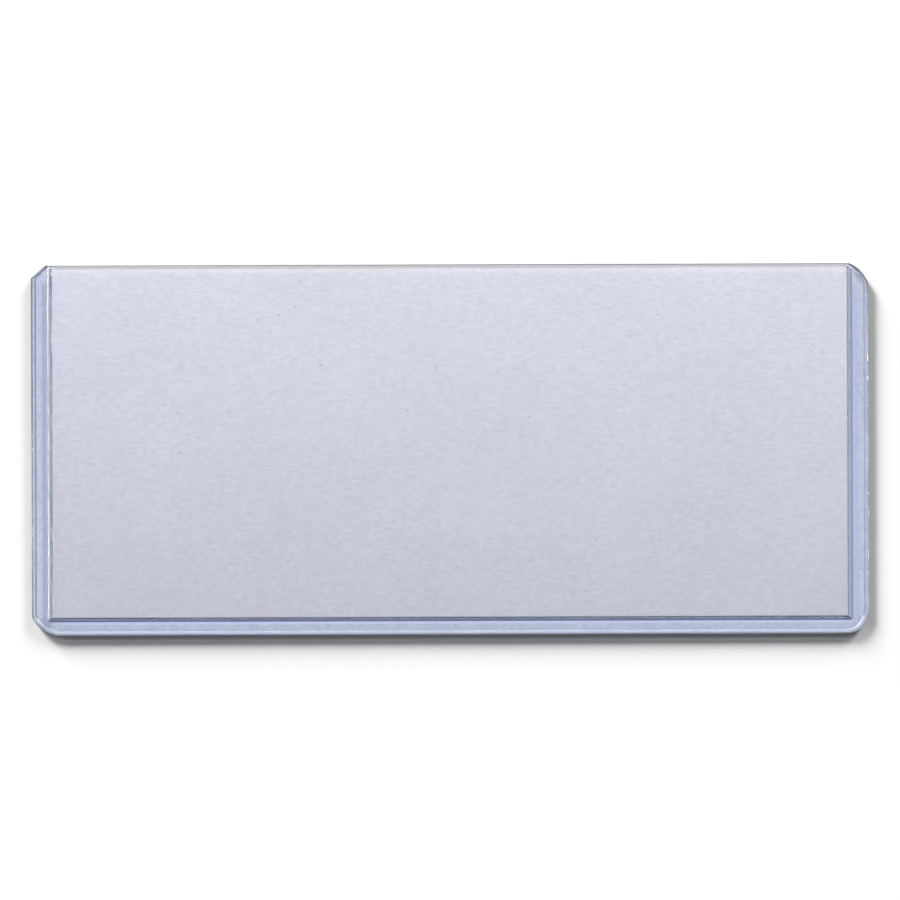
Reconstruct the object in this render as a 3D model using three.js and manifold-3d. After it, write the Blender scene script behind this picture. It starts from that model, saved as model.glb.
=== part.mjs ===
import * as THREE from 'three';
import { mergeVertices } from 'three/addons/utils/BufferGeometryUtils.js';
import Module from 'manifold-3d';

// A rigid clear sleeve for one banknote, lying on its back with its open mouth towards +Y.
// Two plastic sheets are welded together along both sides and the bottom. The back sheet is flat.
// The front sheet is formed: a flange round three sides, a ramp and the pocket's flat roof.
// A blank card lies in the pocket and slides out through the mouth. Lengths are in millimetres.

// The sleeve as a whole
const sleeveWidth = 171.5;
const sleeveHeight = 75.8;
const backSheetThickness = 0.4;
const frontSheetThickness = 0.4;
const pocketGap = 0.9;

// The corners, each cut off by a run along the width and a rise along the height. The cut is
// straight at a bulge share of 0 and curves towards the sharp corner as the share grows.
const bottomLeftRun = 4.9;
const bottomLeftRise = 3.9;
const bottomLeftBulgeShare = 0.52;
const bottomRightRun = 4.0;
const bottomRightRise = 4.7;
const bottomRightBulgeShare = 0.74;
const topRightRun = 3.9;
const topRightRise = 4.1;
const topRightBulgeShare = 0.42;
const topLeftRun = 3.0;
const topLeftRise = 2.6;
const topLeftBulgeShare = 0;
const cornerSegments = 8;

// The front sheet's edge lies inside the back sheet's by these setbacks
const sideSetback = 1.0;
const bottomSetback = 0.9;
const mouthSetback = 0.7;
const topCornerSetback = 0.7;
const bottomCornerSetback = 0.95;

// The front sheet's form, measured inwards from the sleeve's edge to the foot of each ramp
const sideFlangeWidth = 3.4;
const bottomFlangeWidth = 2.8;
const sideRampRun = 1.0;
const bottomRampRun = 0.8;
const bendLength = 0.22;
const bendSegments = 4;

// The welds: a fused film under the flange and the bead squeezed out past the flange's edge
const filmThickness = 0.1;
const sideFilmWidth = 2.4;
const bottomFilmWidth = 2.2;
const bottomBarHeight = 3.6;
const beadHeight = 0.45;
const beadRounding = 0.15;
const beadRoundingSegments = 3;
const grooveWidth = 0.3;

// The card
const cardThickness = 0.5;
const cardSideClearance = 0.3;
const cardBottomClearance = 0.2;
const cardBackClearance = 0.1;
const cardEndSetback = 0.3;

// How far a body that cuts another runs past it
const overrun = 1.0;

// Places that follow from the sizes above
const halfWidth = sleeveWidth / 2;
const halfHeight = sleeveHeight / 2;
const flangeLevel = backSheetThickness + filmThickness;
const rampRise = pocketGap - filmThickness;
const mouthLine = halfHeight - mouthSetback;
const barLine = bottomBarHeight - halfHeight;

const wasm = await Module();
wasm.setup();

function toSolid(geometry) {
  const bare = geometry.clone();
  bare.deleteAttribute('normal');
  bare.deleteAttribute('uv');
  const merged = mergeVertices(bare);
  const vertProperties = merged.attributes.position.array;
  const triVerts = new Uint32Array(merged.index.array);
  return new wasm.Manifold(new wasm.Mesh({ numProp: 3, vertProperties, triVerts }));
}

function toGeometry(solid) {
  const { vertProperties, triVerts } = solid.getMesh();
  const geometry = new THREE.BufferGeometry();
  geometry.setAttribute('position', new THREE.BufferAttribute(vertProperties, 3));
  geometry.setIndex(new THREE.BufferAttribute(triVerts, 1));
  return geometry;
}

// A box between two opposite corners
function block(low, high) {
  const size = new THREE.Vector3().subVectors(high, low);
  const middle = new THREE.Vector3().lerpVectors(low, high, 1 / 2);
  return toSolid(new THREE.BoxGeometry(...size).translate(...middle));
}

// The corners counter-clockwise, each with its direction from the sleeve's middle
const corners = [
  {
    across: -1,
    up: -1,
    run: bottomLeftRun,
    rise: bottomLeftRise,
    bulgeShare: bottomLeftBulgeShare,
  },
  {
    across: 1,
    up: -1,
    run: bottomRightRun,
    rise: bottomRightRise,
    bulgeShare: bottomRightBulgeShare,
  },
  {
    across: 1,
    up: 1,
    run: topRightRun,
    rise: topRightRise,
    bulgeShare: topRightBulgeShare,
  },
  {
    across: -1,
    up: 1,
    run: topLeftRun,
    rise: topLeftRise,
    bulgeShare: topLeftBulgeShare,
  },
];

// The sleeve's outline, moved in from its four sides and from the cuts at its corners. A cut
// keeps its direction, so its reach along both sides changes by one factor.
function sleeveOutline(inset) {
  const outline = new THREE.Shape();
  for (const { across, up, run, rise, bulgeShare } of corners) {
    const end = up < 0 ? inset.bottom : inset.mouth;
    const cut = up < 0 ? inset.bottomCorner : inset.topCorner;
    const reach = 1 + cut * Math.hypot(1 / run, 1 / rise) - inset.side / run - end / rise;
    const sharp = new THREE.Vector2(across * (halfWidth - inset.side), up * (halfHeight - end));
    const onEnd = new THREE.Vector2(sharp.x - across * run * reach, sharp.y);
    const onSide = new THREE.Vector2(sharp.x, sharp.y - up * rise * reach);
    const [start, finish] = across === up ? [onSide, onEnd] : [onEnd, onSide];
    const control = start.clone().lerp(finish, 1 / 2).lerp(sharp, bulgeShare);
    if (outline.curves.length === 0) {
      outline.moveTo(start.x, start.y);
    } else {
      outline.lineTo(start.x, start.y);
    }
    outline.quadraticCurveTo(control.x, control.y, finish.x, finish.y);
  }
  outline.closePath();
  return outline;
}

// An outline raised to a height. A positive rounding draws its upper edge in, and a negative one
// spreads it, which rounds the edge of what it cuts. The lower edge does the same below 0.
function raise(outline, height, rounding = 0) {
  const roundingHeight = Math.abs(rounding);
  const geometry = new THREE.ExtrudeGeometry(outline, {
    depth: height - roundingHeight,
    bevelEnabled: rounding !== 0,
    bevelThickness: roundingHeight,
    bevelSize: rounding,
    bevelOffset: -rounding,
    bevelSegments: beadRoundingSegments,
    curveSegments: cornerSegments,
  });
  return toSolid(geometry);
}

const atEdge = { side: 0, bottom: 0, mouth: 0, topCorner: 0, bottomCorner: 0 };
const atFrontSheet = {
  side: sideSetback,
  bottom: bottomSetback,
  mouth: mouthSetback,
  topCorner: topCornerSetback,
  bottomCorner: bottomCornerSetback,
};
const atGroove = {
  side: sideSetback - grooveWidth,
  bottom: bottomSetback - grooveWidth,
  mouth: 0,
  topCorner: topCornerSetback - grooveWidth,
  bottomCorner: bottomCornerSetback - grooveWidth,
};

// One ramp in section: in along the flange, round the lower bend, up the slope, round the upper
function rampPoints(foot, run, level) {
  const slope = new THREE.Vector2(run, rampRise).setLength(bendLength);
  const top = foot + run;
  const roof = level + rampRise;
  const section = new THREE.Path();
  section.moveTo(foot - bendLength, level);
  section.quadraticCurveTo(foot, level, foot + slope.x, level + slope.y);
  section.lineTo(top - slope.x, roof - slope.y);
  section.quadraticCurveTo(top, roof, top + bendLength, roof);
  return section.getPoints(bendSegments);
}

// A section drawn out along a third direction, both ways from the sleeve's middle
function drawOut(points, length, sectionX, sectionY, direction) {
  const geometry = new THREE.ExtrudeGeometry(new THREE.Shape(points), {
    depth: length,
    bevelEnabled: false,
  });
  geometry.translate(0, 0, -length / 2);
  geometry.applyMatrix4(new THREE.Matrix4().makeBasis(sectionX, sectionY, direction));
  return toSolid(geometry);
}

// Everything under one face of the front sheet: the face lies at the given level over the flange
// and climbs to the roof over a ramp at the left, the right and the bottom
function underFace(level, sideFoot, bottomFoot) {
  const left = rampPoints(sideFoot, sideRampRun, level);
  const right = left.map((point) => new THREE.Vector2(halfWidth - point.x, point.y)).reverse();
  const across = [
    new THREE.Vector2(-halfWidth - overrun, -overrun),
    new THREE.Vector2(-halfWidth - overrun, level),
    ...left.map((point) => new THREE.Vector2(point.x - halfWidth, point.y)),
    ...right,
    new THREE.Vector2(halfWidth + overrun, level),
    new THREE.Vector2(halfWidth + overrun, -overrun),
  ];
  const bottom = rampPoints(bottomFoot, bottomRampRun, level);
  const upwards = [
    new THREE.Vector2(-halfHeight - overrun, -overrun),
    new THREE.Vector2(-halfHeight - overrun, level),
    ...bottom.map((point) => new THREE.Vector2(point.x - halfHeight, point.y)),
    new THREE.Vector2(halfHeight + overrun, level + rampRise),
    new THREE.Vector2(halfHeight + overrun, -overrun),
  ];
  const axisX = new THREE.Vector3(1, 0, 0);
  const axisY = new THREE.Vector3(0, 1, 0);
  const axisZ = new THREE.Vector3(0, 0, 1);
  const backwards = new THREE.Vector3(0, -1, 0);
  const acrossBody = drawOut(across, sleeveHeight + 2 * overrun, axisX, axisZ, backwards);
  const upwardsBody = drawOut(upwards, sleeveWidth + 2 * overrun, axisY, axisZ, axisX);
  return acrossBody.intersect(upwardsBody);
}

// Where the foot of a ramp lies on the sheet's underside, so that the sheet stays one thickness
function innerFoot(foot, run) {
  const slopeAngle = Math.atan2(rampRise, run);
  return foot + frontSheetThickness * Math.tan(slopeAngle / 2);
}

const innerSideFoot = innerFoot(sideFlangeWidth, sideRampRun);
const innerBottomFoot = innerFoot(bottomFlangeWidth, bottomRampRun);

// The back sheet: a flat sheet with the sleeve's full outline
function makeBackSheet() {
  return raise(sleeveOutline(atEdge), backSheetThickness);
}

// The front sheet, from the underside of its flange up. Its flat panel over the pocket and its
// formed rim, the flange and ramps on three sides, meet where the upper bends end.
function makeFrontSheet() {
  const blank = raise(sleeveOutline(atFrontSheet), frontSheetThickness + rampRise + overrun);
  const outside = underFace(frontSheetThickness, sideFlangeWidth, bottomFlangeWidth);
  const pocket = underFace(0, innerSideFoot, innerBottomFoot);
  const sheet = blank.intersect(outside).subtract(pocket);
  const sideRimWidth = innerSideFoot + sideRampRun + bendLength;
  const bottomRimWidth = innerBottomFoot + bottomRampRun + bendLength;
  const overPocket = block(
    new THREE.Vector3(sideRimWidth - halfWidth, bottomRimWidth - halfHeight, 0),
    new THREE.Vector3(halfWidth - sideRimWidth, halfHeight, pocketGap + overrun),
  );
  return { panel: sheet.intersect(overPocket), rim: sheet.subtract(overPocket) };
}

// All the fused plastic between and around the sheets, from the back sheet's face up
function makeWeldRing() {
  const bead = raise(sleeveOutline(atEdge), beadHeight, beadRounding)
    .subtract(raise(sleeveOutline(atGroove), beadHeight, -beadRounding));
  const unfused = block(
    new THREE.Vector3(sideFilmWidth - halfWidth, bottomFilmWidth - halfHeight, -overrun),
    new THREE.Vector3(halfWidth - sideFilmWidth, halfHeight + overrun, filmThickness + overrun),
  );
  const underFlange = block(
    new THREE.Vector3(-halfWidth, -halfHeight, -overrun),
    new THREE.Vector3(halfWidth, mouthLine, filmThickness),
  );
  const film = raise(sleeveOutline(atEdge), filmThickness).intersect(underFlange).subtract(unfused);
  const below = block(
    new THREE.Vector3(-halfWidth - overrun, -halfHeight - overrun, -overrun),
    new THREE.Vector3(halfWidth + overrun, halfHeight + overrun, 0),
  );
  return bead.subtract(below).add(film);
}

// The part of the weld ring between two places across the width and two up the height
function weldBetween(ring, left, right, low, high) {
  const part = block(
    new THREE.Vector3(left, low, -overrun),
    new THREE.Vector3(right, high, beadHeight + overrun),
  );
  return ring.intersect(part);
}

// The card fits between the ramps at the height of its own upper face. Its end reaches past the
// front sheet's mouth, almost to the back sheet's edge, where a finger can take it.
function makeCard() {
  const climb = (cardBackClearance + cardThickness - filmThickness) / rampRise;
  const sideGap = innerSideFoot + sideRampRun * climb + cardSideClearance;
  const bottomGap = innerBottomFoot + bottomRampRun * climb + cardBottomClearance;
  return {
    width: sleeveWidth - 2 * sideGap,
    low: bottomGap - halfHeight,
    high: halfHeight - cardEndSetback,
  };
}

const clearPlastic = new THREE.MeshStandardMaterial({
  name: 'clear_plastic',
  color: 0xc4cde6,
  roughness: 0.15,
  metalness: 0,
  flatShading: true,
});
const fusedPlastic = new THREE.MeshStandardMaterial({
  name: 'fused_plastic',
  color: 0xaab4d6,
  roughness: 0.25,
  metalness: 0,
  flatShading: true,
});
const cardPaper = new THREE.MeshStandardMaterial({
  name: 'card_paper',
  color: 0xdcdee6,
  roughness: 0.85,
  metalness: 0,
  flatShading: true,
});

function addPiece(group, name, geometry, material, level) {
  const piece = new THREE.Mesh(geometry, material.clone());
  piece.name = name;
  piece.position.z = level;
  group.add(piece);
  return piece;
}

const sleeve = new THREE.Group();
const frontSheet = makeFrontSheet();
const ring = makeWeldRing();
const pastLeft = -halfWidth - overrun;
const pastRight = halfWidth + overrun;
const pastBottom = -halfHeight - overrun;
const pastMouth = halfHeight + overrun;
const leftWeld = weldBetween(ring, pastLeft, 0, barLine, pastMouth);
const rightWeld = weldBetween(ring, 0, pastRight, barLine, pastMouth);
const bottomWeld = weldBetween(ring, pastLeft, pastRight, pastBottom, barLine);
addPiece(sleeve, 'back_sheet', toGeometry(makeBackSheet()), clearPlastic, 0);
addPiece(sleeve, 'front_panel', toGeometry(frontSheet.panel), clearPlastic, flangeLevel);
addPiece(sleeve, 'front_rim', toGeometry(frontSheet.rim), clearPlastic, flangeLevel);
addPiece(sleeve, 'left_side_weld', toGeometry(leftWeld), fusedPlastic, backSheetThickness);
addPiece(sleeve, 'right_side_weld', toGeometry(rightWeld), fusedPlastic, backSheetThickness);
addPiece(sleeve, 'bottom_weld', toGeometry(bottomWeld), fusedPlastic, backSheetThickness);

const card = makeCard();
const cardGeometry = new THREE.BoxGeometry(card.width, card.high - card.low, cardThickness);
const cardLevel = backSheetThickness + cardBackClearance + cardThickness / 2;
const cardPiece = addPiece(sleeve, 'blank_card', cardGeometry, cardPaper, cardLevel);
cardPiece.position.y = (card.high + card.low) / 2;

export default sleeve;
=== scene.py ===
# %% [markdown]
# # A rigid clear sleeve with a blank card in it
#
# The sleeve is two sheets of clear plastic, welded together along both sides and the bottom. The back
# sheet is flat. The front sheet is pressed into a shallow tray, so that a pocket is left between the
# two, open at the top. A blank card lies in the pocket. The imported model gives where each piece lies,
# and this script makes the fine surface, the finishes and the light.

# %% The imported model
import math
from collections import namedtuple

import bmesh
import bpy
from mathutils import Matrix, Vector


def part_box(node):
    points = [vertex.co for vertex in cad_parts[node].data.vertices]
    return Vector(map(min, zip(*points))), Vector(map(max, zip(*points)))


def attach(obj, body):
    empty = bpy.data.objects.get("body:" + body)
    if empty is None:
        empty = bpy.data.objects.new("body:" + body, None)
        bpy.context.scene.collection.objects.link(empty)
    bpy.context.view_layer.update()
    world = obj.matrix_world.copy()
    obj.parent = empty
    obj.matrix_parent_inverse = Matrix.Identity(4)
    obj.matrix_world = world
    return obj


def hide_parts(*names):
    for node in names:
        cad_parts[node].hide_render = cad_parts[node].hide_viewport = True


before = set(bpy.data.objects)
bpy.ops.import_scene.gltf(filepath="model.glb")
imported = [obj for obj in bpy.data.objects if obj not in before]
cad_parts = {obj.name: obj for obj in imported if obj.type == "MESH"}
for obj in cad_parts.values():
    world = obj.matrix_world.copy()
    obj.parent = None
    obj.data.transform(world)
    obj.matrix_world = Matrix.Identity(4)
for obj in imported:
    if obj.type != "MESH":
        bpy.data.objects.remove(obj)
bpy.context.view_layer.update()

# %% [markdown]
# ## Sizes
#
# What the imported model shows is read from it: each node's box tells the width of the sleeve, the
# levels of its faces and where the weld bar across the bottom begins. The corner cuts, the flange and
# the bends can't be read from a box, so they are written here, as they are on the real sleeve. So are
# the width of the film that fuses the sheets, the groove that parts the bead from the flange, and how
# far the flange's edge has melted back.

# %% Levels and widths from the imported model
MM = 0.001

back_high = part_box("back_sheet")[1]
panel_low, panel_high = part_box("front_panel")
rim_low, rim_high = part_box("front_rim")
bar_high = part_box("bottom_weld")[1]
card_low, card_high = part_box("blank_card")

half_width = back_high.x
half_height = back_high.y
back_face = back_high.z
flange_under = rim_low.z
sheet_thickness = panel_high.z - panel_low.z
flange_top = flange_under + sheet_thickness
roof_top = panel_high.z
ramp_rise = roof_top - flange_top
mouth_line = panel_high.y
bar_line = bar_high.y
bead_top = bar_high.z
print("sleeve", 2 * half_width / MM, "by", 2 * half_height / MM, "mm, roof at", roof_top / MM)

# %% Sizes that no box tells
side_setback = half_width - rim_high.x
bottom_setback = half_height + rim_low.y
mouth_setback = half_height - mouth_line
top_corner_setback = 0.7 * MM
bottom_corner_setback = 0.95 * MM
side_flange = 3.5 * MM
bottom_flange = 2.97 * MM
side_ramp = 0.86 * MM
bottom_ramp = 0.42 * MM
lower_bend = 0.33 * MM
upper_radius = 0.44 * MM
side_film = 2.4 * MM
bottom_film = 2.2 * MM
groove_width = 0.03 * MM
melted_back = 0.1 * MM
print("setbacks", side_setback / MM, bottom_setback / MM, mouth_setback / MM)

# %% [markdown]
# ## The outline
#
# Each corner of the sleeve was cut a little differently: one is a straight cut, the others are more or
# less round. A cut is a run along the width, a rise along the height and a bulge, the share by which
# its curve leans towards the sharp corner. The same function gives the outline at any distance in from
# the edge, always with the same number of points, so that outlines can be joined ring by ring.

# %% Outline of the sleeve at a distance in from its edge
Corner = namedtuple("Corner", "across up run rise bulge_share")
corners = [
    Corner(-1, -1, run=4.9 * MM, rise=3.9 * MM, bulge_share=0.52),
    Corner(1, -1, run=4.0 * MM, rise=4.7 * MM, bulge_share=0.74),
    Corner(1, 1, run=3.9 * MM, rise=4.1 * MM, bulge_share=0.42),
    Corner(-1, 1, run=3.0 * MM, rise=2.6 * MM, bulge_share=0.0),
]
Inset = namedtuple("Inset", "side bottom mouth top_corner bottom_corner")
corner_steps = 16


def even_inset(distance):
    """An inset that is the same on every side."""
    return Inset(distance, distance, distance, distance, distance)


def sleeve_outline(inset):
    """The outline's points, counter-clockwise from the lower left corner."""
    points = []
    for corner in corners:
        end = inset.bottom if corner.up < 0 else inset.mouth
        cut = inset.bottom_corner if corner.up < 0 else inset.top_corner
        slant = math.hypot(1 / corner.run, 1 / corner.rise)
        reach = 1 + cut * slant - inset.side / corner.run - end / corner.rise
        sharp = Vector((corner.across * (half_width - inset.side), corner.up * (half_height - end)))
        on_end = sharp - Vector((corner.across * corner.run * reach, 0))
        on_side = sharp - Vector((0, corner.up * corner.rise * reach))
        start, stop = (on_side, on_end) if corner.across == corner.up else (on_end, on_side)
        control = start.lerp(stop, 1 / 2).lerp(sharp, corner.bulge_share)
        for step in range(corner_steps + 1):
            share = step / corner_steps
            first, second = start.lerp(control, share), control.lerp(stop, share)
            points.append(first.lerp(second, share))
    return points


print("outline points", len(sleeve_outline(even_inset(0))))

# %% [markdown]
# ## The camera
#
# The photograph looks straight down. Its scale is the sleeve's width over the pixels it covers, taken
# at the back sheet, and with a long lens the distance follows from that. The sleeve lies a touch turned
# in the photograph, which the camera takes up by a small roll.

# %% Camera straight above
photo_pixels = 900
sleeve_pixels = 837
middle_below_pixels = 0.7
photo_turn = math.radians(0.18)
lens, sensor = 100, 36


def new_object(name, data):
    """An object in the scene, at the origin."""
    made = bpy.data.objects.new(name, data)
    bpy.context.scene.collection.objects.link(made)
    return made


pixel = 2 * half_width / sleeve_pixels
camera_distance = photo_pixels * pixel * lens / sensor
camera_data = bpy.data.cameras.new("camera")
camera_data.lens = lens
camera_data.sensor_width = sensor
camera_data.clip_start = 1 * MM
camera = new_object("camera", camera_data)
camera.location = (0, -middle_below_pixels * pixel, camera_distance + back_face)
camera.rotation_euler = (0, 0, -photo_turn)
bpy.context.scene.camera = camera
print("camera at", round(camera.location.z / MM), "mm")

# %% [markdown]
# ## Node arithmetic
#
# A finish is a node tree. Writing it as arithmetic keeps it readable: a Value stands for one socket,
# and adding or multiplying two of them adds the Math node that does it. Every other node comes from
# one method, which takes the node's type, its settings and its inputs. The settings are set first,
# because they decide which sockets the node has in use.

# %% One node
def socket_place(sockets, name):
    """The number of the socket with that name, among those that are in use."""
    return next(i for i, s in enumerate(sockets) if s.enabled and s.name == name)


def add_node(tree, kind, settings=None, inputs=None):
    """A new node in a tree, with a value or a link for each input, by its name or its number."""
    made = tree.nodes.new(kind)
    for name, value in (settings or {}).items():
        setattr(made, name, value)
    for key, value in (inputs or {}).items():
        socket = made.inputs[key if isinstance(key, int) else socket_place(made.inputs, key)]
        if isinstance(value, bpy.types.NodeSocket):
            tree.links.new(value, socket)
        else:
            socket.default_value = value
    return made


# %% A finish and the values in it
class Value:
    """One output socket of a finish."""

    def __init__(self, finish, socket):
        self.finish, self.socket = finish, socket

    def __add__(self, other):
        return self.finish.math("ADD", self, other)

    def __mul__(self, other):
        return self.finish.math("MULTIPLY", self, other)

    __radd__ = __add__
    __rmul__ = __mul__


class Finish:
    """A material whose nodes are added one by one."""

    def __init__(self, name):
        self.material = bpy.data.materials.new(name)
        self.material.use_nodes = True
        self.tree = self.material.node_tree
        self.tree.nodes.clear()

    def node(self, kind, settings=None, inputs=None, output=0):
        given = {k: v.socket if isinstance(v, Value) else v for k, v in (inputs or {}).items()}
        made = add_node(self.tree, kind, settings, given)
        socket = output if isinstance(output, int) else socket_place(made.outputs, output)
        return Value(self, made.outputs[socket])

    def math(self, operation, first, second):
        return self.node("ShaderNodeMath", {"operation": operation}, {0: first, 1: second})

    def blend(self, share, first, second):
        """Two colours mixed by a share."""
        inputs = {"Factor": share, "A": first, "B": second}
        return self.node("ShaderNodeMix", {"data_type": "RGBA"}, inputs, "Result")

    def spread(self, value, low, high, new_low=0.0, new_high=1.0):
        """A value's range taken to another range, and held there."""
        inputs = {"Value": value, "From Min": low, "From Max": high}
        return self.node("ShaderNodeMapRange", None, inputs | {"To Min": new_low, "To Max": new_high})

    def place(self):
        """The piece's own coordinates, in metres."""
        return self.node("ShaderNodeTexCoord", None, None, "Object")

    def noise(self, scale, detail=2.0, roughness=0.5, turn=0.0):
        """Soft noise, with so many blobs to the metre along each axis, turned in the sheet's plane."""
        stretched = {"Vector": self.place(), "Scale": scale, "Rotation": (0, 0, turn)}
        inputs = {"Vector": self.node("ShaderNodeMapping", None, stretched), "Scale": 1.0}
        return self.node("ShaderNodeTexNoise", None, inputs | {"Detail": detail, "Roughness": roughness})

    def bump(self, height, depth, strength=1.0, below=None):
        """Bumps of a depth in metres, laid over the bumps below if there are any."""
        inputs = {"Height": height, "Distance": depth, "Strength": strength}
        if below is not None:
            inputs["Normal"] = below
        return self.node("ShaderNodeBump", None, inputs)

    def show(self, shader):
        """Ends the tree with its output, and gives the material."""
        add_node(self.tree, "ShaderNodeOutputMaterial", None, {"Surface": shader.socket})
        print("finish", self.material.name, "with", len(self.tree.nodes), "nodes")
        return self.material


# %% [markdown]
# ## The floor
#
# The sleeve lies on a plain white floor, a hair under the back sheet so that the two faces don't
# flicker. The floor is a single face, because nothing on it is seen but shadows.

# %% White floor
floor_size = 6.0
floor_gap = 0.02 * MM
floor_grain_scale = (900, 900, 900)
floor_whites = (0.90, 0.90, 0.90, 1), (0.93, 0.93, 0.93, 1)


def floor_finish():
    finish = Finish("white_floor")
    white = finish.blend(finish.noise(floor_grain_scale), *floor_whites)
    inputs = {"Base Color": white, "Roughness": 0.9, "Specular IOR Level": 0.1}
    return finish.show(finish.node("ShaderNodeBsdfPrincipled", None, inputs))


def as_mesh(name, bm, materials=()):
    """The mesh that was being made, with its materials."""
    mesh = bpy.data.meshes.new(name)
    bm.to_mesh(mesh)
    bm.free()
    for material in materials:
        mesh.materials.append(material)
    return mesh


floor_bm = bmesh.new()
sunk = Matrix.Translation((0, 0, -floor_gap))
bmesh.ops.create_grid(floor_bm, x_segments=1, y_segments=1, size=floor_size / 2, matrix=sunk)
floor = new_object("floor", as_mesh("floor", floor_bm, [floor_finish()]))
print("floor", floor_size, "m across")

# %% [markdown]
# ## The light
#
# Two low suns stand past the open mouth, one to each side. They throw the long soft shadow below the
# sleeve and the shorter ones beside it, and a weak third one at the left helps them. Together they take
# the floor just to white, so that the soft ends of the shadows show. Their glossy reflections are left
# out, which takes part of the glare away when the sleeve is seen from a low place. A narrow strip lamp
# at each side draws the bright lines along the foot of the left ramp and along the right edge. The sky
# is dim for all but the camera, which sees it pale.

# %% Soft lamps
lamp_distance = 1.0
sun_angle = math.radians(16)
strip_box = {"shape": "RECTANGLE", "size": 0.36, "size_y": 0.08}


def add_lamp(name, kind, azimuth, elevation, **settings):
    """A lamp that faces the sleeve, by its angle round from +X and its angle up."""
    lamp = bpy.data.lights.new(name, kind)
    for setting, value in settings.items():
        setattr(lamp, setting, value)
    placed = new_object(name, lamp)
    turn, up = math.radians(azimuth), math.radians(elevation)
    way = Vector((math.cos(up) * math.cos(turn), math.cos(up) * math.sin(turn), math.sin(up)))
    placed.location = way * lamp_distance
    placed.rotation_euler = way.to_track_quat("Z", "Y").to_euler()
    placed.visible_camera = False
    placed.visible_glossy = kind != "SUN"
    print("lamp", name, "power", lamp.energy)
    return placed


upper_left = add_lamp("upper_left", "SUN", azimuth=126, elevation=10.5, energy=12.2, angle=sun_angle)
upper_right = add_lamp("upper_right", "SUN", azimuth=56, elevation=11.5, energy=4.7, angle=sun_angle)
far_left = add_lamp("far_left", "SUN", azimuth=155, elevation=14, energy=0.9, angle=sun_angle)
left_strip = add_lamp("left_strip", "AREA", azimuth=180, elevation=38, energy=6.5, **strip_box)
right_strip = add_lamp("right_strip", "AREA", azimuth=0, elevation=38, energy=7.0, **strip_box)

# %% Pale sky and how light is traced
sky_light = 0.06
sky_seen = 0.92
sky_colour = (1, 1, 1, 1)

world = bpy.data.worlds.new("sky")
world.use_nodes = True
sky_nodes = world.node_tree
sky_nodes.nodes.clear()
mixed_by = {0: add_node(sky_nodes, "ShaderNodeLightPath").outputs["Is Camera Ray"]}
for number, strength in enumerate((sky_light, sky_seen), 1):
    sky = add_node(sky_nodes, "ShaderNodeBackground", None, {"Color": sky_colour, "Strength": strength})
    mixed_by[number] = sky.outputs[0]
either = add_node(sky_nodes, "ShaderNodeMixShader", None, mixed_by).outputs[0]
add_node(sky_nodes, "ShaderNodeOutputWorld", None, {"Surface": either})
bpy.context.scene.world = world
bpy.context.scene.view_settings.view_transform = "Standard"
cycles = bpy.context.scene.cycles
cycles.max_bounces = 24
cycles.transmission_bounces = 24
cycles.transparent_max_bounces = 32
cycles.caustics_reflective = False
cycles.caustics_refractive = False
print("sky", sky_light, "for light and", sky_seen, "for the camera")

# %% [markdown]
# ## Clear plastic
#
# The sheets are rigid PVC with a faint blue cast. Glass that bends light shows the ramps and edges as
# the dark and bright lines that give such a sleeve its look. Lamps and the light that bounces off the
# floor go straight through, because a path tracer finds the bent way to a lamp only by luck. So each
# finish has two colours: what the eye sees through it, and what a lamp sends through it. A finish that
# holds lamps back lets them pass fully only to a point inside the plastic.

# %% How lamps pass clear plastic
plastic_ior = 1.53


def lets_lamps_through(finish, glass, colour, passing):
    """Glass for what is seen, and a plain clear tint for lamps and bounced light."""
    shadow = finish.node("ShaderNodeLightPath", None, None, "Is Shadow Ray")
    bounced = finish.node("ShaderNodeLightPath", None, None, "Is Diffuse Ray")
    clear = finish.node("ShaderNodeBsdfTransparent", None, {"Color": colour})
    lamps = finish.math("MAXIMUM", shadow, bounced)
    if passing < 1:
        from_inside = finish.node("ShaderNodeNewGeometry", None, None, "Backfacing")
        lamps = lamps * (from_inside * (1 - passing) + passing)
    return finish.node("ShaderNodeMixShader", None, {0: lamps, 1: glass, 2: clear})


def clear_finish(finish, seen_tint, lamp_tint, rough, normal, passing=1.0, gloss=0.5):
    """Finishes a clear plastic by its two colours, its roughness and its bumps."""
    inputs = {"Base Color": seen_tint, "Roughness": rough, "IOR": plastic_ior}
    inputs |= {"Transmission Weight": 1.0, "Normal": normal, "Specular IOR Level": gloss}
    glass = finish.node("ShaderNodeBsdfPrincipled", None, inputs)
    return finish.show(lets_lamps_through(finish, glass, lamp_tint, passing))


# %% [markdown]
# The rolled sheet has faint draw lines, and handling leaves fine scuffs, both of which only change the
# gloss. The pocket's roof is clearer than the flanges round it, so it has a finish of its own.

# %% Finish of the flat sheets
draw_line_scale = (2600, 14, 14)
draw_line_depth = 0.0006 * MM
scuff_scale = (60, 700, 60)
scuff_turn = math.radians(24)
scuff_noise = (0.58, 0.75)
scuff_rough = 0.05
sheet_tints = (0.849, 0.877, 0.984, 1), (0.94, 0.95, 0.97, 1)
roof_tints = (0.93, 0.94, 0.985, 1), (0.94, 0.95, 0.97, 1)


def sheet_finish(name, seen_tint, lamp_tint, draw_depth=draw_line_depth, least_rough=0.015, gloss=0.5):
    """Rolled sheet: draw lines along it, and scuffs across."""
    finish = Finish(name)
    draw_lines = finish.noise(draw_line_scale, detail=3)
    scuffs = finish.noise(scuff_scale, detail=4, turn=scuff_turn)
    rough = finish.spread(scuffs, *scuff_noise) * scuff_rough + least_rough
    normal = finish.bump(draw_lines, draw_depth)
    return clear_finish(finish, seen_tint, lamp_tint, rough, normal, gloss=gloss)


clear_sheet = sheet_finish("clear_sheet", *sheet_tints)
roof_sheet = sheet_finish("roof_sheet", *roof_tints)

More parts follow.
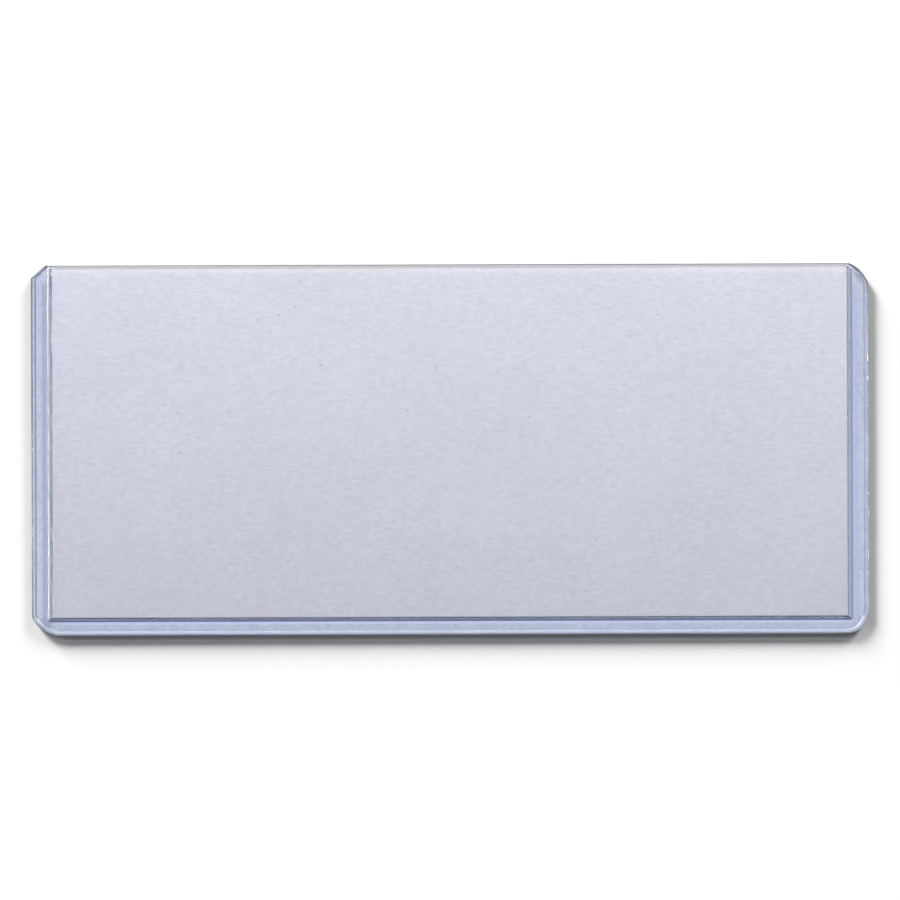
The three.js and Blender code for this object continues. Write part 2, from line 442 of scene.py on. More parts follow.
# %% [markdown]
# The ramps were pressed while the sheet was warm. They are tinted dark, painted shade for the shaded gap
# under each ramp beside the card's edge. The steep ramp along the bottom has the darkest painted shade, up to
# its bend, and the left ramp has more than the right one. The foot of a side ramp is a little rough, and
# above it the ramp hardly shines. The cut edges are rough from the die and tinted dark, which gives the
# sleeve its dark outline. A lamp's light gets in through such an edge, but what comes from inside is thrown
# about and hardly leaves it. That gives the sleeve its strong shadow.

# %% Finishes of the ramps and of the cut edges
pressed_lamp_tint = (0.92, 0.93, 0.95, 1)
# Painted shade: the ramps' seen tints are dark, darkest on the bottom ramp, and darker on the left ramp than
# on the right one.
side_ramp_shade_tints = (0.50, 0.50, 0.54, 1), pressed_lamp_tint
left_ramp_shade_tints = (0.36, 0.37, 0.41, 1), pressed_lamp_tint
steep_ramp_shade_tints = (0.22, 0.23, 0.32, 1), pressed_lamp_tint
steep_bend_shade_tints = (0.74, 0.76, 0.82, 1), (0.93, 0.94, 0.96, 1)
pressed_depth = 0.0001 * MM
foot_rough = 0.12
matt_gloss = 0.03
wide_noise = (0.3, 0.7)
tear_scale = (3000, 3000, 900)
tear_depth = 0.004 * MM
tear_rough = (0.35, 0.6)
edge_tints = (0.20, 0.21, 0.24, 1), (0.90, 0.92, 0.95, 1)
edge_passing = 0.08
edge_gloss = 0.1

side_foot = sheet_finish("side_foot", *side_ramp_shade_tints, pressed_depth, least_rough=foot_rough)
side_ramp_face = sheet_finish("side_ramp", *side_ramp_shade_tints, pressed_depth, gloss=matt_gloss)
left_ramp_face = sheet_finish("left_ramp", *left_ramp_shade_tints, pressed_depth, gloss=matt_gloss)
steep_ramp_face = sheet_finish("steep_ramp", *steep_ramp_shade_tints, pressed_depth)
steep_bend_face = sheet_finish("steep_bend", *steep_bend_shade_tints, pressed_depth)


def cut_edge_finish():
    finish = Finish("cut_edge")
    tears = finish.noise(tear_scale, detail=3)
    rough = finish.spread(tears, *wide_noise, *tear_rough)
    return clear_finish(finish, *edge_tints, rough, finish.bump(tears, tear_depth), edge_passing, edge_gloss)


cut_edge = cut_edge_finish()

# %% [markdown]
# ## Fused plastic
#
# Where the sheets are welded, the plastic has run together: nothing is reflected between them any more. The
# faces that touch in a weld get a finish of their own that light passes straight. The heat leaves them a
# little cloudy, so two clear tints are mixed by a fine mottle. The bead squeezed out along the edge is the
# same plastic, with ripples and tiny pits. Its flank beside the flange, in the groove, is tinted dark as
# painted shade, more at the left than at the right. The bar across the bottom has had the most heat: its bead
# is duller, and it is tinted clearer, a painted highlight along its crown. The flange's underside above the
# bar is tinted darker, painted shade.

# %% Finishes of the welds
narrow_noise = (0.35, 0.65)
mottle_scale = (900, 900, 900)
fused_tints = (0.931, 0.936, 0.955, 1), (0.965, 0.968, 0.978, 1)
# Painted shade: the flange's underside over the bar is tinted darker.
bar_shade_tints = (0.82, 0.83, 0.865, 1), (0.85, 0.86, 0.885, 1)
weld_lamp_tint = (0.90, 0.92, 0.95, 1)
bead_tints = (0.86, 0.88, 0.93, 1), weld_lamp_tint
# Painted shade in the grooves, darker at the left than at the right.
left_groove_shade_tints = (0.22, 0.24, 0.31, 1), weld_lamp_tint
right_groove_shade_tints = (0.43, 0.45, 0.53, 1), weld_lamp_tint
# Painted highlight: the bar's bead is tinted nearly clear so its crown shows bright.
bar_highlight_tints = (0.97, 0.98, 1.0, 1), weld_lamp_tint
bead_passing = 0.1
bead_rough = (0.04, 0.14)
bar_rough = (0.35, 0.5)
ripple_scale = (500, 500, 500)
ripple_depth = 0.01 * MM
pit_scale = (4000, 4000, 4000)
pit_depth = 0.002 * MM
pit_strength = 0.5


def fused_finish(name, tints):
    finish = Finish(name)
    mottle = finish.spread(finish.noise(mottle_scale, detail=3), *narrow_noise)
    cloudy, clear = (finish.node("ShaderNodeBsdfTransparent", None, {"Color": tint}) for tint in tints)
    return finish.show(finish.node("ShaderNodeMixShader", None, {0: mottle, 1: cloudy, 2: clear}))


def bead_finish(name, tints, rough_range=bead_rough):
    finish = Finish(name)
    ripple = finish.noise(ripple_scale, detail=3)
    pits = finish.noise(pit_scale, detail=1)
    normal = finish.bump(pits, pit_depth, pit_strength, finish.bump(ripple, ripple_depth))
    rough = finish.spread(pits, *wide_noise, *rough_range)
    return clear_finish(finish, *tints, rough, normal, bead_passing)


fused_face = fused_finish("fused_face", fused_tints)
bar_face = fused_finish("bar_face", bar_shade_tints)
fused_bead = bead_finish("fused_bead", bead_tints)
left_groove = bead_finish("left_groove", left_groove_shade_tints)
right_groove = bead_finish("right_groove", right_groove_shade_tints)
bar_bead = bead_finish("bar_bead", bar_highlight_tints, bar_rough)

# %% [markdown]
# ## Making closed pieces
#
# The back sheet and the card are rings of points joined one to the next, with a face over the first
# and the last ring. A few helpers do that, cut any mesh by a plane, and turn the result into an object
# with its place in its mesh.

# %% Helpers for meshes
same_place = 1e-9


def join_rings(bm, rings):
    """Joins rings of points, each with as many points, and closes both ends."""
    rows = [[bm.verts.new(point) for point in ring] for ring in rings]
    for low, high in zip(rows, rows[1:]):
        for i in range(len(low)):
            j = (i + 1) % len(low)
            bm.faces.new((low[i], low[j], high[j], high[i]))
    bm.faces.new(list(reversed(rows[0])))
    bm.faces.new(rows[-1])


def cut_by(bm, place, towards, throw_away=False):
    """Cuts the mesh along a plane, and drops what lies beyond it if asked."""
    everything = bm.verts[:] + bm.edges[:] + bm.faces[:]
    bmesh.ops.bisect_plane(
        bm, geom=everything, dist=same_place, plane_co=place, plane_no=towards, clear_outer=throw_away
    )


def make_piece(name, bm, materials, sharp_angle=35):
    """The finished mesh as an object at the origin."""
    bmesh.ops.recalc_face_normals(bm, faces=bm.faces[:])
    for face in bm.faces:
        face.smooth = True
    mesh = as_mesh(name, bm, materials)
    mesh.set_sharp_from_angle(angle=math.radians(sharp_angle))
    print(name, "faces", len(mesh.polygons))
    return new_object(name, mesh)


# %% Helpers for the fused zone
flat_facing = 0.99
level_slack = 0.001 * MM


def in_weld(point):
    """True over the fused zone along the sides and the bottom."""
    beside = abs(point.x) > half_width - side_film
    below = point.y < bottom_film - half_height
    return (beside or below) and point.y < mouth_line


def cut_weld_zone(bm):
    """Cuts along the borders of the fused zone, so that its faces can have a finish of their own."""
    for side in (-1, 1):
        cut_by(bm, (side * (half_width - side_film), 0, 0), (side, 0, 0))
    cut_by(bm, (0, bottom_film - half_height, 0), (0, 1, 0))
    cut_by(bm, (0, mouth_line, 0), (0, 1, 0))


def finish_weld_zone(bm, level, slot):
    """Gives the flat faces of the fused zone at that level the material in that slot."""
    for face in bm.faces:
        middle = face.calc_center_median()
        flat = abs(face.normal.z) > flat_facing
        if flat and abs(middle.z - level) < level_slack and in_weld(middle):
            face.material_index = slot


# %% [markdown]
# ## The back sheet
#
# A flat sheet with the whole outline. Its edge was cut by a die, which leaves a fine rounding and a slightly
# rough, dark wall. At the right the wall takes the bead's lighter finish instead, a painted highlight where
# light leaves through that edge. It could be a plain extrusion, but then its edge would catch no light.

# %% Back sheet
edge_rounding = 0.12 * MM
edge_steps = 4
right_facing = 0.4
back_finishes = [clear_sheet, cut_edge, fused_face, fused_bead]


def wall_steps(low, high, rounding):
    """How far in and how high each ring of a wall with rounded edges lies."""
    quarter = [math.pi / 2 * step / edge_steps for step in range(edge_steps + 1)]
    lower = [(rounding * (1 - math.sin(a)), low + rounding * (1 - math.cos(a))) for a in quarter]
    upper = [(rounding * (1 - math.cos(a)), high - rounding * (1 - math.sin(a))) for a in quarter]
    return [(2 * rounding, low), *lower, *upper, (2 * rounding, high)]


def rounded_plate(outline, low, high, rounding):
    """A flat plate with a rounded edge. The outline is a function of the distance in."""
    bm = bmesh.new()
    walls = wall_steps(low, high, rounding)
    join_rings(bm, [[(p.x, p.y, level) for p in outline(inset)] for inset, level in walls])
    return bm


def make_back_sheet():
    bm = rounded_plate(lambda inset: sleeve_outline(even_inset(inset)), 0, back_face, edge_rounding)
    bmesh.ops.recalc_face_normals(bm, faces=bm.faces[:])
    for face in bm.faces:
        if len(face.verts) == 4:
            # The right wall is lighter: painted highlight where light leaves through the edge.
            wall = fused_bead if face.normal.x > right_facing else cut_edge
            face.material_index = back_finishes.index(wall)
    cut_weld_zone(bm)
    finish_weld_zone(bm, back_face, back_finishes.index(fused_face))
    return make_piece("back_sheet_fine", bm, back_finishes)


back_sheet = make_back_sheet()
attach(back_sheet, "sleeve")
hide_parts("back_sheet")

# %% [markdown]
# ## The front sheet
#
# One sheet, pressed so that a flange runs round three sides and a ramp climbs from it to the flat roof
# of the pocket. In section the ramp is a straight slope between a wide bend at its foot and a tighter
# one at its top, hardly wider than the sheet is thick. In the lower corners the ramps meet in a mitre
# with a little rounding. The upper face is a grid of points whose height follows that rule, with its
# lines close together over the bends. It is trimmed to the outline, which is convex, so cutting it along
# each edge of the outline in turn leaves just the sheet. Solidify then gives it its thickness.

# %% Height of the front sheet
mitre_reach = 1.5
mitre_sharpness = 4
ramp_lines = 36
flat_margin = 0.03 * MM


def upper_bend(run):
    """How far the bend at the top of a ramp reaches to each side of the ramp's end."""
    return upper_radius * math.tan(math.atan2(ramp_rise, run) / 2)


def ramp_height(along, run):
    """The height over the flange at a distance in from the ramp's foot."""
    angle = math.atan2(ramp_rise, run)
    lower_radius = lower_bend / math.tan(angle / 2)
    reach = upper_bend(run)
    if along <= -lower_bend:
        return 0.0
    if along < lower_bend * math.cos(angle):
        return lower_radius - math.sqrt(lower_radius**2 - (along + lower_bend) ** 2)
    if along <= run - reach * math.cos(angle):
        return along * math.tan(angle)
    if along < run + reach:
        return ramp_rise - upper_radius + math.sqrt(upper_radius**2 - (run + reach - along) ** 2)
    return ramp_rise


def sheet_height(x, y):
    """The height over the flange at a place on the sheet."""
    beside = (half_width - abs(x) - side_flange) / side_ramp
    above = (y + half_height - bottom_flange) / bottom_ramp
    side_part = max(mitre_reach - beside, 0.0)
    bottom_part = max(mitre_reach - above, 0.0)
    if side_part == 0 and bottom_part == 0:
        return ramp_rise
    powers = side_part**mitre_sharpness, bottom_part**mitre_sharpness
    both = sum(powers) ** (1 / mitre_sharpness)
    turn = powers[0] / sum(powers)
    run = turn * side_ramp + (1 - turn) * bottom_ramp
    return ramp_height((mitre_reach - both) * run, run)


def ramp_stations(foot, run):
    """Distances in from the edge where the grid has its lines, close together over the ramp."""
    start, stop = foot - lower_bend, foot + run + upper_bend(run)
    lines = [start + (stop - start) * i / ramp_lines for i in range(ramp_lines + 1)]
    return [start - flat_margin, *lines, stop + flat_margin]


# %% Front sheet
panel_lines = 8
front_side = side_setback + melted_back
front_inset = Inset(front_side, bottom_setback, mouth_setback, top_corner_setback, bottom_corner_setback)
front_finishes = [clear_sheet, cut_edge, fused_face, side_foot, side_ramp_face]
front_finishes += [steep_ramp_face, steep_bend_face, left_ramp_face, bar_face, roof_sheet]


def sheet_lines():
    """The grid's lines: where its columns and its rows lie."""
    side = [side_setback, side_film, *ramp_stations(side_flange, side_ramp)]
    side += [side_flange + side_ramp + mitre_reach * side_ramp]
    left = [distance - half_width for distance in side]
    middle = [left[-1] * (1 - 2 * i / panel_lines) for i in range(1, panel_lines)]
    columns = left + middle + [-x for x in reversed(left)]
    bottom = [bottom_setback, bottom_film, *ramp_stations(bottom_flange, bottom_ramp)]
    bottom += [bottom_flange + bottom_ramp + mitre_reach * bottom_ramp]
    rows = [distance - half_height for distance in bottom]
    rows += [rows[-1] + (mouth_line - rows[-1]) * i / panel_lines for i in range(1, panel_lines + 1)]
    return columns, rows


def front_surface():
    """The upper face, trimmed to the outline, with Solidify to give it its thickness."""
    columns, rows = sheet_lines()
    bm = bmesh.new()
    grid = [[bm.verts.new((x, y, flange_top + sheet_height(x, y))) for x in columns] for y in rows]
    for low, high in zip(grid, grid[1:]):
        for i in range(len(columns) - 1):
            bm.faces.new((low[i], low[i + 1], high[i + 1], high[i]))
    outline = sleeve_outline(front_inset)
    for start, stop in zip(outline, outline[1:] + outline[:1]):
        along = stop - start
        if along.length > same_place:
            outwards = (along.y, -along.x, 0)
            cut_by(bm, (start.x, start.y, 0), outwards, throw_away=True)
    surface = new_object("front_surface", as_mesh("front_surface", bm, front_finishes))
    wall = surface.modifiers.new("thickness", "SOLIDIFY")
    wall.thickness = sheet_thickness
    wall.offset = -1
    wall.use_even_offset = True
    wall.material_offset_rim = front_finishes.index(cut_edge)
    return surface


def applied(thing):
    """The object's mesh with its modifiers applied, and the object gone."""
    bpy.context.view_layer.update()
    evaluated = thing.evaluated_get(bpy.context.evaluated_depsgraph_get())
    mesh = bpy.data.meshes.new_from_object(evaluated)
    bpy.data.objects.remove(thing)
    return mesh


# %% [markdown]
# Each face takes the finish of its place. The faces that slope are the pressed ramps, with their painted
# shade, and the flat ones they enclose are the clearer roof. The wall at the mouth gets the clear finish,
# because that edge was trimmed clean, and so does the wall above the bar, which the weld has melted. The
# flange's underside is fused to the film below it, and over the bar it is tinted darker, painted shade.

# %% Finishes on the front sheet
ramp_slope = math.cos(math.radians(9))
wall_slope = 0.2
mouth_wall_facing = 0.9
steep_bend_share = 0.8
side_foot_share = 0.4
roof_start = (flange_top + panel_low.z) / 2


def pressed_finish(face):
    """The finish of a sloping face, by its ramp and by how high it lies on it."""
    middle = face.calc_center_median()
    level = flange_top if face.normal.z > 0 else flange_under
    if abs(face.normal.y) > abs(face.normal.x):
        at_bend = middle.z > level + steep_bend_share * ramp_rise
        return steep_bend_face if at_bend else steep_ramp_face
    if middle.z <= level + side_foot_share * ramp_rise:
        return side_foot
    # The left ramp carries more painted shade than the right one.
    return left_ramp_face if middle.x < 0 else side_ramp_face


def finish_front_sheet(bm):
    cut_by(bm, (0, bar_line, 0), (0, 1, 0))
    bm.normal_update()
    for face in bm.faces:
        middle = face.calc_center_median()
        finish = front_finishes[face.material_index]
        if abs(face.normal.z) < wall_slope:
            smooth = face.normal.y > mouth_wall_facing or middle.y < bar_line
            if smooth and finish == cut_edge:
                finish = clear_sheet
        elif abs(face.normal.z) < ramp_slope:
            finish = pressed_finish(face)
        elif middle.z > roof_start:
            finish = roof_sheet
        face.material_index = front_finishes.index(finish)
    finish_weld_zone(bm, flange_under, front_finishes.index(fused_face))
    # Over the bar the fused underside gets the darker tint, painted shade.
    for face in bm.faces:
        fused = front_finishes[face.material_index] == fused_face
        if fused and face.calc_center_median().y < bar_line:
            face.material_index = front_finishes.index(bar_face)


front_bm = bmesh.new()
front_bm.from_mesh(applied(front_surface()))
finish_front_sheet(front_bm)
front_sheet = make_piece("front_sheet", front_bm, front_finishes)
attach(front_sheet, "sleeve")
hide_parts("front_panel", "front_rim")

# %% [markdown]
# ## The welds
#
# The heated die presses the flange down until the plastic runs, and a bead is squeezed out past the
# flange's edge. Each weld is that bead and the thin fused film under the flange. The bead follows the
# edge, so Geometry Nodes make it, as a section drawn along two rails: the sleeve's edge and the groove
# that is left beside the flange. A straight strip is swept first, and then each point is moved to its
# place between the rails.

# %% Helpers for trees that make shapes
def start_tree(name, inputs):
    """A new tree with its named inputs, and what comes in by them."""
    tree = bpy.data.node_groups.new(name, "GeometryNodeTree")
    for socket, kind in {"Geometry": "Geometry", **inputs}.items():
        tree.interface.new_socket(socket, in_out="INPUT", socket_type="NodeSocket" + kind)
    tree.interface.new_socket("Geometry", in_out="OUTPUT", socket_type="NodeSocketGeometry")
    return tree, tree.nodes.new("NodeGroupInput").outputs


def end_tree(tree, shape, material):
    """Makes the shape real, gives it its material and sends it out."""
    real = add_node(tree, "GeometryNodeRealizeInstances", None, {"Geometry": shape}).outputs[0]
    covered = add_node(tree, "GeometryNodeSetMaterial", None, {"Geometry": real, "Material": material})
    out = tree.nodes.new("NodeGroupOutput")
    tree.links.new(covered.outputs[0], out.inputs[0])
    print(tree.name, "has", len(tree.nodes), "nodes")
    return tree


def named(tree, name):
    """A number kept under a name on each point."""
    settings = {"data_type": "FLOAT"}
    return add_node(tree, "GeometryNodeInputNamedAttribute", settings, {"Name": name}).outputs[0]


# %% Node tree that draws a bead along two rails
bead_inputs = {
    "Edge Rail": "Object",
    "Groove Rail": "Object",
    "Base Level": "Float",
    "Crown Height": "Float",
    "Squareness": "Float",
    "Section Points": "Int",
    "Material": "Material",
}


def bead_tree():
    tree, given = start_tree("bead_on_rails", bead_inputs)

    def math_node(operation, *values):
        inputs = dict(enumerate(values))
        return add_node(tree, "ShaderNodeMath", {"operation": operation}, inputs).outputs[0]

    def rail_points(name):
        return add_node(tree, "GeometryNodeObjectInfo", None, {"Object": given[name]}).outputs["Geometry"]

    def numbered_line(count, name, value):
        line = add_node(tree, "GeometryNodeMeshLine", None, {"Count": count})
        store = {"Geometry": line.outputs[0], "Name": name, "Value": value}
        kept = add_node(tree, "GeometryNodeStoreNamedAttribute", {"data_type": "FLOAT"}, store)
        return add_node(tree, "GeometryNodeMeshToCurve", None, {"Mesh": kept.outputs[0]}).outputs[0]

    edge, groove = rail_points("Edge Rail"), rail_points("Groove Rail")
    size = add_node(tree, "GeometryNodeAttributeDomainSize", {"component": "MESH"}, {"Geometry": edge})
    index = tree.nodes.new("GeometryNodeInputIndex").outputs[0]
    path = numbered_line(size.outputs["Point Count"], "station", index)
    last = math_node("SUBTRACT", given["Section Points"], 1.0)
    section = numbered_line(given["Section Points"], "around", math_node("DIVIDE", index, last))
    section = add_node(tree, "GeometryNodeSetSplineCyclic", None, {"Geometry": section, "Cyclic": True})
    sweep = {"Curve": path, "Profile Curve": section.outputs[0], "Fill Caps": True}
    swept = add_node(tree, "GeometryNodeCurveToMesh", None, sweep)

    angle = math_node("MULTIPLY", named(tree, "around"), math.pi)
    cosine, sine = math_node("COSINE", angle), math_node("SINE", angle)
    widest = math_node("POWER", math_node("ABSOLUTE", cosine), given["Squareness"])
    signed = math_node("MULTIPLY", widest, math_node("SIGN", cosine))
    across = math_node("MULTIPLY_ADD", signed, -0.5, 0.5)
    dome = math_node("POWER", math_node("MAXIMUM", sine, 0.0), given["Squareness"])
    height = math_node("MULTIPLY_ADD", dome, given["Crown Height"], given["Base Level"])
    where = tree.nodes.new("GeometryNodeInputPosition").outputs[0]
    station = named(tree, "station")

    def on_rail(rail):
        inputs = {"Geometry": rail, "Value": where, "Index": station}
        settings = {"data_type": "FLOAT_VECTOR", "domain": "POINT"}
        return add_node(tree, "GeometryNodeSampleIndex", settings, inputs).outputs[0]

    rails = {"Factor": across, "A": on_rail(edge), "B": on_rail(groove)}
    mixed = add_node(tree, "ShaderNodeMix", {"data_type": "VECTOR"}, rails)
    raised = add_node(tree, "ShaderNodeCombineXYZ", None, {"Z": height}).outputs[0]
    between = next(s for s in mixed.outputs if s.enabled)
    place = add_node(tree, "ShaderNodeVectorMath", {"operation": "ADD"}, {0: between, 1: raised})
    moved = {"Geometry": swept.outputs[0], "Position": place.outputs[0]}
    shaped = add_node(tree, "GeometryNodeSetPosition", None, moved).outputs[0]
    return end_tree(tree, shaped, given["Material"])


bead_nodes = bead_tree()

# %% Beads along the edge
section_points = 17
rim_squareness = 0.62
bar_squareness = 0.9
bar_seam = 0.12 * MM


def rail(name, inset):
    """The outline from the mouth's left end down, along the bottom and up to its right end."""
    points = sleeve_outline(inset)
    mouth_left = (len(corners) - 1) * (corner_steps + 1)
    ordered = points[mouth_left:] + points[:mouth_left]
    mesh = bpy.data.meshes.new(name)
    mesh.from_pydata([(p.x, p.y, 0) for p in ordered], [(i, i + 1) for i in range(len(ordered) - 1)], [])
    return new_object(name, mesh)


def groove_inset(gap):
    """A groove that lies so far outside the flange's edge."""
    at_corners = top_corner_setback - gap, bottom_corner_setback - gap
    return Inset(front_side - gap, bottom_setback - gap, 0, *at_corners)


def give_inputs(modifier, values):
    """Sets a node modifier's inputs by their sockets' identifiers."""
    for item in modifier.node_group.interface.items_tree:
        if item.in_out == "INPUT" and item.name in values:
            modifier[item.identifier] = values[item.name]


def draw_bead(name, gap, squareness):
    """The bead's mesh, between the edge and the groove."""
    edge = rail(name + "_edge", even_inset(0))
    groove = rail(name + "_groove", groove_inset(gap))
    strip = new_object(name, bpy.data.meshes.new(name))
    modifier = strip.modifiers.new("bead", "NODES")
    modifier.node_group = bead_nodes
    values = {"Edge Rail": edge, "Groove Rail": groove, "Base Level": flange_under}
    values |= {"Crown Height": bead_top - flange_under, "Squareness": squareness}
    give_inputs(modifier, values | {"Section Points": section_points, "Material": fused_bead})
    mesh = applied(strip)
    for placed in (edge, groove):
        bpy.data.objects.remove(placed)
    return mesh


rim_mesh = draw_bead("rim_bead", groove_width, rim_squareness)
bar_mesh = draw_bead("bar_bead", bar_seam, bar_squareness)
print("bead points", len(rim_mesh.vertices), "faces", len(rim_mesh.polygons))

# %% [markdown]
# The long bead is cut into the three welds: the bar across the bottom, and the rims that stop above it.
# At the mouth the rims end short of the card's way. A weld has four finishes: one for the crown of its
# bead, one for the film, and one for each flank of the bead.

# %% Welds
film_slot, outer_flank_slot, groove_flank_slot = 1, 2, 3
rim_steep = 0.5
bar_steep = 0.93
mouth_facing = 0.3
flank_start = 0.57
weld_sharp_angle = 50


def close_cuts(bm):
    open_edges = [edge for edge in bm.edges if edge.is_boundary]
    bmesh.ops.holes_fill(bm, edges=open_edges, sides=0)


def make_film(bm, planes):
    """The thin fused plate under the flange, as far as the planes."""
    plate = bmesh.new()
    points = [plate.verts.new((p.x, p.y, back_face)) for p in sleeve_outline(even_inset(0))]
    plate.faces.new(points)
    cut_weld_zone(plate)
    cut_by(plate, (0, bar_line, 0), (0, 1, 0))
    unwanted = []
    for face in plate.faces:
        middle = face.calc_center_median()
        beyond = any((middle - place).dot(towards) > 0 for place, towards in planes)
        if beyond or not in_weld(middle):
            unwanted.append(face)
    bmesh.ops.delete(plate, geom=unwanted, context="FACES")
    raised = bmesh.ops.extrude_face_region(plate, geom=plate.faces[:], use_keep_orig=True)
    lifted = [part for part in raised["geom"] if isinstance(part, bmesh.types.BMVert)]
    bmesh.ops.translate(plate, verts=lifted, vec=(0, 0, flange_under - back_face))
    film = as_mesh("film", plate)
    bm.from_mesh(film)
    bpy.data.meshes.remove(film)


def make_weld(name, bead, planes, finishes, steep):
    """One weld: the bead and its film, cut off at the given planes."""
    bm = bmesh.new()
    bm.from_mesh(bead)
    around = bm.verts.layers.float["around"]
    for place, towards in planes:
        cut_by(bm, place, towards, throw_away=True)
        close_cuts(bm)
    bmesh.ops.recalc_face_normals(bm, faces=bm.faces[:])
    for face in bm.faces:
        share = sum(vert[around] for vert in face.verts) / len(face.verts)
        lengthwise = len(face.verts) == 4
        if lengthwise and share > flank_start:
            face.material_index = groove_flank_slot
        elif lengthwise and abs(face.normal.z) < steep and face.normal.y < mouth_facing:
            face.material_index = outer_flank_slot
    make_film(bm, planes)
    bmesh.ops.recalc_face_normals(bm, faces=bm.faces[:])
    for level in (back_face, flange_under):
        finish_weld_zone(bm, level, film_slot)
    weld = make_piece(name, bm, finishes, weld_sharp_angle)
    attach(weld, "sleeve")
    return weld


across, up = Vector((1, 0, 0)), Vector((0, 1, 0))
bar_place = Vector((0, bar_line, 0))
left_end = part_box("left_side_weld")[1]
right_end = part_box("right_side_weld")[0]
left_planes = [(bar_place, -up), (left_end, across)]
right_planes = [(bar_place, -up), (right_end, -across)]
bar_planes = [(bar_place, up)]
# The right weld's outer flank takes the bead's lighter finish instead of the dark cut edge, a painted
# highlight where light leaves through that edge.
left_finishes = [fused_bead, fused_face, cut_edge, left_groove]
right_finishes = [fused_bead, fused_face, fused_bead, right_groove]
bar_finishes = [bar_bead, fused_face, cut_edge, bar_bead]
left_weld = make_weld("left_weld", rim_mesh, left_planes, left_finishes, rim_steep)
right_weld = make_weld("right_weld", rim_mesh, right_planes, right_finishes, rim_steep)
bar_weld = make_weld("bottom_bar", bar_mesh, bar_planes, bar_finishes, bar_steep)
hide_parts("left_side_weld")
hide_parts("right_side_weld")
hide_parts("bottom_weld")

# %% [markdown]
# ## The card
#
# A plain piece of card, cut to the pocket with its corners a touch round. Its paper has a faint grain along
# its length, soft clouds in its shade, and a hint of warmth here and there. Its colour has a painted light
# falloff, so its upper edge is a quarter paler than its lower one, and the end that sticks out past the mouth
# is painted darker, painted shade at the mouth. The card is too thin for its edge to need a shape of its own,
# but the rounding stops it from looking like a cut block.

# %% Finish of the card
grain_scale = (700, 1500, 700)
fibre_scale = (1800, 3600, 1800)
cloud_scale = (40, 40, 40)
warm_scale = (70, 70, 70)
grain_share, fibre_share, cloud_share = 0.6, 0.25, 0.15
warm_noise = (0.45, 0.75)
warm_most = 0.3
paper_depth = 0.01 * MM
paper_shades = (0.646, 0.641, 0.680, 1), (0.778, 0.773, 0.822, 1)
warm_shade = (0.761, 0.703, 0.715, 1)
# Painted shade at the mouth, where the card's end sticks out past the front sheet.
mouth_painted_shade = (0.40, 0.40, 0.415, 1)
# Painted light falloff: the colour runs from darker at the card's lower edge to lighter at its upper edge.
painted_falloff_share = 0.13
mouth_shade_run = 0.3 * MM


def card_finish():
    finish = Finish("card_face")
    grain = finish.noise(grain_scale, detail=4, roughness=0.6)
    fibre = finish.noise(fibre_scale, detail=2)
    cloud = finish.noise(cloud_scale)
    warm = finish.noise(warm_scale, detail=3)
    paper = grain * grain_share + fibre * fibre_share + cloud * cloud_share
    colour = finish.blend(finish.spread(paper, *narrow_noise), *paper_shades)
    colour = finish.blend(finish.spread(warm, *warm_noise, 0.0, warm_most), colour, warm_shade)
    up = finish.node("ShaderNodeSeparateXYZ", None, {"Vector": finish.place()}, "Y")
    # Painted light falloff: lighter towards the mouth, darker towards the bottom.
    painted_falloff = finish.spread(up, card_low.y, card_high.y, 1 - painted_falloff_share, 1 + painted_falloff_share)
    colour = finish.node("ShaderNodeVectorMath", {"operation": "SCALE"}, {0: colour, "Scale": painted_falloff})
    # Painted shade: the card is darker where it sticks out past the mouth.
    mouth_shade = finish.spread(up, mouth_line - mouth_shade_run, mouth_line + mouth_shade_run)
    colour = finish.blend(mouth_shade, colour, mouth_painted_shade)
    normal = finish.bump(grain + fibre, paper_depth)
    inputs = {"Base Color": colour, "Roughness": 0.9, "Specular IOR Level": 0.2, "Normal": normal}
    return finish.show(finish.node("ShaderNodeBsdfPrincipled", None, inputs))


# %% Card
card_rounding = 0.05 * MM
card_corner = 0.35 * MM
card_corner_steps = 6


def card_outline(inset):
    """The card's points at a distance in from its edge."""
    points = []
    for quarter, (across, up) in enumerate(((1, 1), (-1, 1), (-1, -1), (1, -1))):
        edge = Vector((card_high.x if across > 0 else card_low.x, card_high.y if up > 0 else card_low.y))
        middle = edge - card_corner * Vector((across, up))
        for step in range(card_corner_steps + 1):
            angle = math.pi / 2 * (quarter + step / card_corner_steps)
            points.append(middle + (card_corner - inset) * Vector((math.cos(angle), math.sin(angle))))
    return points


card_bm = rounded_plate(card_outline, card_low.z, card_high.z, card_rounding)
card = make_piece("card", card_bm, [card_finish()])
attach(card, "card")
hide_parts("blank_card")

# %% [markdown]
# The paper has specks: short dark fibres that were in the pulp. Geometry Nodes scatter them over a
# strip the size of the card, with a fixed seed, so they lie the same in every run. Each is a flattened
# grain with few faces, sunk halfway into the paper and turned its own way.

# %% Node tree that scatters specks
speck_inputs = {"Speck Count": "Float", "Speck Size": "Float", "Seed": "Int", "Material": "Material"}
least_stretch = (0.7, 0.25, 0.03)
most_stretch = (2.2, 0.6, 0.05)


def speck_tree():
    tree, given = start_tree("scattered_specks", speck_inputs)

    def random_vector(least, most):
        inputs = {"Min": least, "Max": most, "Seed": given["Seed"]}
        return add_node(tree, "FunctionNodeRandomValue", {"data_type": "FLOAT_VECTOR"}, inputs).outputs[0]

    spread = {"Mesh": given["Geometry"], "Density": given["Speck Count"], "Seed": given["Seed"]}
    points = add_node(tree, "GeometryNodeDistributePointsOnFaces", None, spread).outputs["Points"]
    grain = add_node(tree, "GeometryNodeMeshIcoSphere", None, {"Radius": given["Speck Size"]}).outputs["Mesh"]
    copies = {"Points": points, "Instance": grain}
    copies["Rotation"] = random_vector((0.0, 0.0, 0.0), (0.0, 0.0, 2 * math.pi))
    copies["Scale"] = random_vector(least_stretch, most_stretch)
    placed = add_node(tree, "GeometryNodeInstanceOnPoints", None, copies).outputs[0]
    return end_tree(tree, placed, given["Material"])


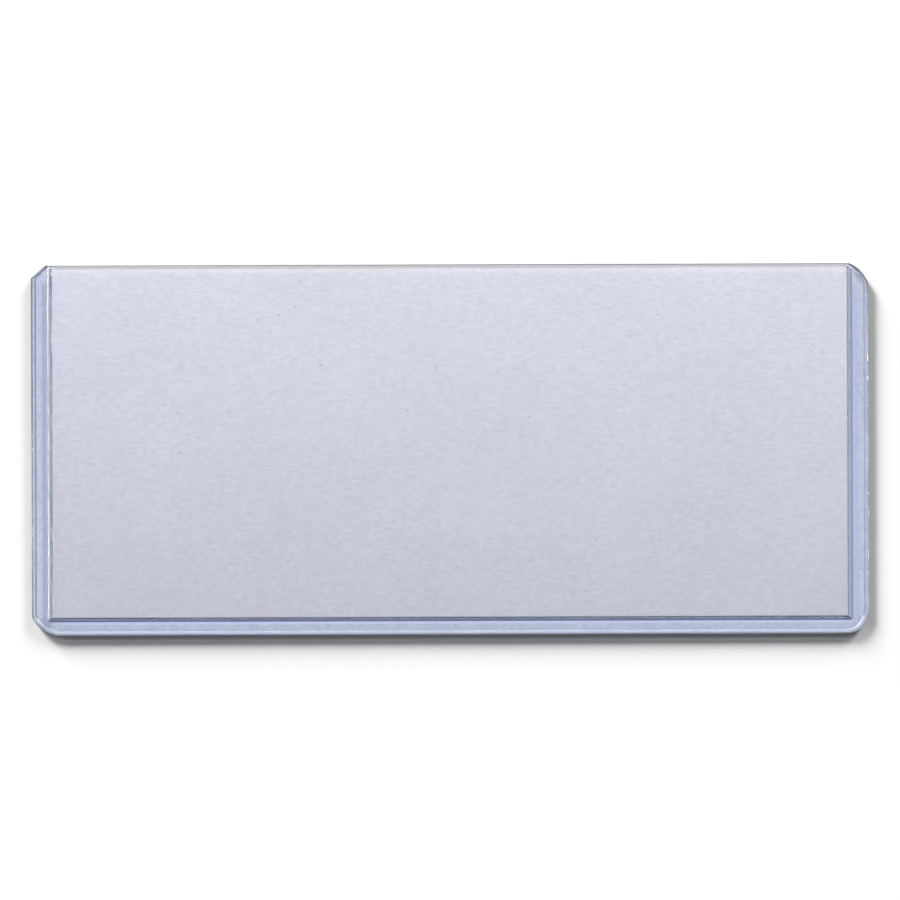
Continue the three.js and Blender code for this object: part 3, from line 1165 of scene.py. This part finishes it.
# %% Specks
specks_to_the_square_metre = 6000.0
speck_size = 0.16 * MM
speck_seed = 11
speck_margin = 1.0 * MM
speck_shade_scale = (300, 300, 300)
speck_noise = (0.4, 0.6)
speck_shades = (0.10, 0.10, 0.12, 1), (0.34, 0.33, 0.34, 1)


def speck_finish():
    finish = Finish("speck")
    shade = finish.spread(finish.noise(speck_shade_scale), *speck_noise)
    inputs = {"Base Color": finish.blend(shade, *speck_shades), "Roughness": 0.9}
    return finish.show(finish.node("ShaderNodeBsdfPrincipled", None, inputs))


def make_specks():
    mesh = bpy.data.meshes.new("card_specks")
    low = card_low.xy + Vector((speck_margin, speck_margin))
    high = card_high.xy - Vector((speck_margin, speck_margin))
    strip_corners = [(low.x, low.y), (high.x, low.y), (high.x, high.y), (low.x, high.y)]
    mesh.from_pydata([(x, y, card_high.z) for x, y in strip_corners], [], [(0, 1, 2, 3)])
    strip = new_object("card_specks", mesh)
    modifier = strip.modifiers.new("specks", "NODES")
    modifier.node_group = speck_tree()
    values = {"Speck Count": specks_to_the_square_metre, "Speck Size": speck_size, "Seed": speck_seed}
    give_inputs(modifier, values | {"Material": speck_finish()})
    scattered = new_object("card_specks", applied(strip))
    print("specks", len(scattered.data.polygons), "faces")
    return scattered


specks = make_specks()
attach(specks, "card")

# %% [markdown]
# The thin paper lets light through, so it throws no hard shadow inside the pocket. The low lamps leave
# the card out of what shades them, and its soft shadow comes from the sky. The strip lamps are there for
# their reflections, so each lights only the pieces that show one.

# %% What the low lamps pass
unshaded = bpy.data.collections.new("unshaded")
unshaded.objects.link(card)
unshaded.objects.link(specks)
for thing in unshaded.collection_objects:
    thing.light_linking.link_state = "EXCLUDE"
for lamp in (upper_left, upper_right, far_left):
    lamp.light_linking.blocker_collection = unshaded
for lamp, pieces in ((left_strip, (front_sheet, left_weld)), (right_strip, (right_weld,))):
    lit = bpy.data.collections.new("lit by " + lamp.name)
    for piece in pieces:
        lit.objects.link(piece)
    lamp.light_linking.receiver_collection = lit
